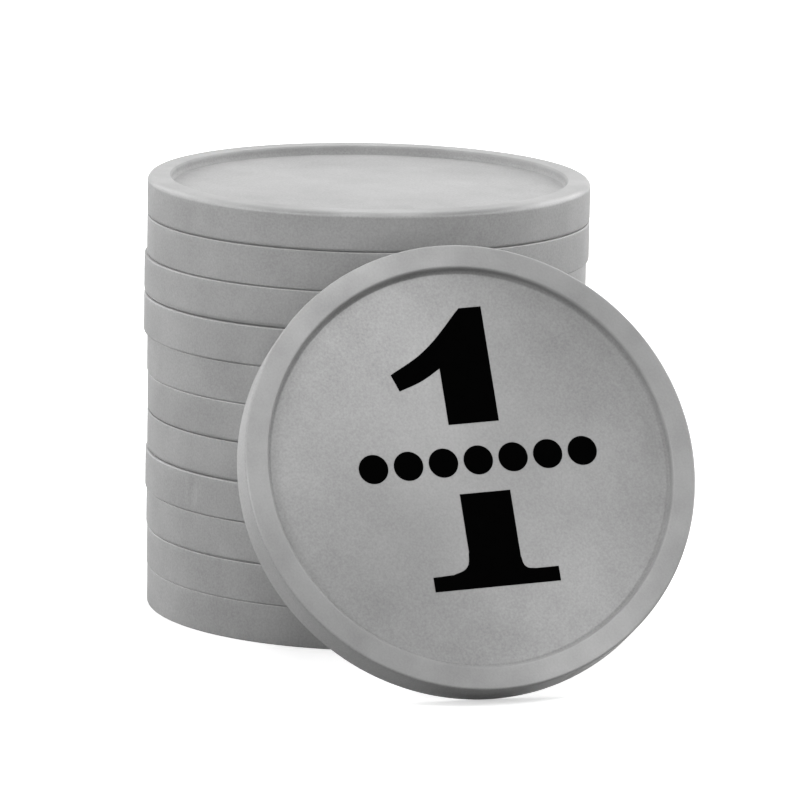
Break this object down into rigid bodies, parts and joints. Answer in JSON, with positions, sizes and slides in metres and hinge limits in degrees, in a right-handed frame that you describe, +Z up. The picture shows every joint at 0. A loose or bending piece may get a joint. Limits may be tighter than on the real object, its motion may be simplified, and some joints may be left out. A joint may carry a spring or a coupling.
{
  "type": "drink chip set",
  "caption": "Round moulded plastic drink chips with raised rims and recessed faces: a pile that comes apart chip by chip, and one more chip leaning against its front.",
  "frame": {"origin": "middle of the set's footprint, on the table", "axes": "+Z up along the pile, -Y to the front where the leaning chip stands, +X to the right"},
  "size_m": [0.0356, 0.0446, 0.0286],
  "materials": {
    "grey_plastic": "satin",
    "black_ink": "matte"
  },
  "bodies": {
    "pile_chip_01": {"pile_chip_01": "grey_plastic"},
    "pile_chip_02": {"pile_chip_02": "grey_plastic"},
    "pile_chip_03": {"pile_chip_03": "grey_plastic"},
    "pile_chip_04": {"pile_chip_04": "grey_plastic"},
    "pile_chip_05": {"pile_chip_05": "grey_plastic"},
    "pile_chip_06": {"pile_chip_06": "grey_plastic"},
    "pile_chip_07": {"pile_chip_07": "grey_plastic"},
    "pile_chip_08": {"pile_chip_08": "grey_plastic"},
    "pile_chip_09": {"pile_chip_09": "grey_plastic"},
    "pile_chip_10": {"pile_chip_10": "grey_plastic"},
    "pile_chip_11": {"pile_chip_11": "grey_plastic"},
    "leaning_chip": {"leaning_chip": "grey_plastic"}
  },
  "joints": [
    {"name": "lift_pile_chip_02", "type": "slide", "parent": "pile_chip_01", "child": "pile_chip_02", "axis": [0, 0, 1], "range_m": [0, 0.015]},
    {"name": "lift_pile_chip_03", "type": "slide", "parent": "pile_chip_02", "child": "pile_chip_03", "axis": [0, 0, 1], "range_m": [0, 0.015]},
    {"name": "lift_pile_chip_04", "type": "slide", "parent": "pile_chip_03", "child": "pile_chip_04", "axis": [0, 0, 1], "range_m": [0, 0.015]},
    {"name": "lift_pile_chip_05", "type": "slide", "parent": "pile_chip_04", "child": "pile_chip_05", "axis": [0, 0, 1], "range_m": [0, 0.015]},
    {"name": "lift_pile_chip_06", "type": "slide", "parent": "pile_chip_05", "child": "pile_chip_06", "axis": [0, 0, 1], "range_m": [0, 0.015]},
    {"name": "lift_pile_chip_07", "type": "slide", "parent": "pile_chip_06", "child": "pile_chip_07", "axis": [0, 0, 1], "range_m": [0, 0.015]},
    {"name": "lift_pile_chip_08", "type": "slide", "parent": "pile_chip_07", "child": "pile_chip_08", "axis": [0, 0, 1], "range_m": [0, 0.015]},
    {"name": "lift_pile_chip_09", "type": "slide", "parent": "pile_chip_08", "child": "pile_chip_09", "axis": [0, 0, 1], "range_m": [0, 0.015]},
    {"name": "lift_pile_chip_10", "type": "slide", "parent": "pile_chip_09", "child": "pile_chip_10", "axis": [0, 0, 1], "range_m": [0, 0.015]},
    {"name": "lift_pile_chip_11", "type": "slide", "parent": "pile_chip_10", "child": "pile_chip_11", "axis": [0, 0, 1], "range_m": [0, 0.015]},
    {"name": "tip_leaning_chip", "type": "hinge", "parent": "pile_chip_01", "child": "leaning_chip", "pos_m": [0.00466, -0.01933, 0.0001], "axis": [0.9724, 0.2334, 0], "range_deg": [0, 27.5]}
  ]
}
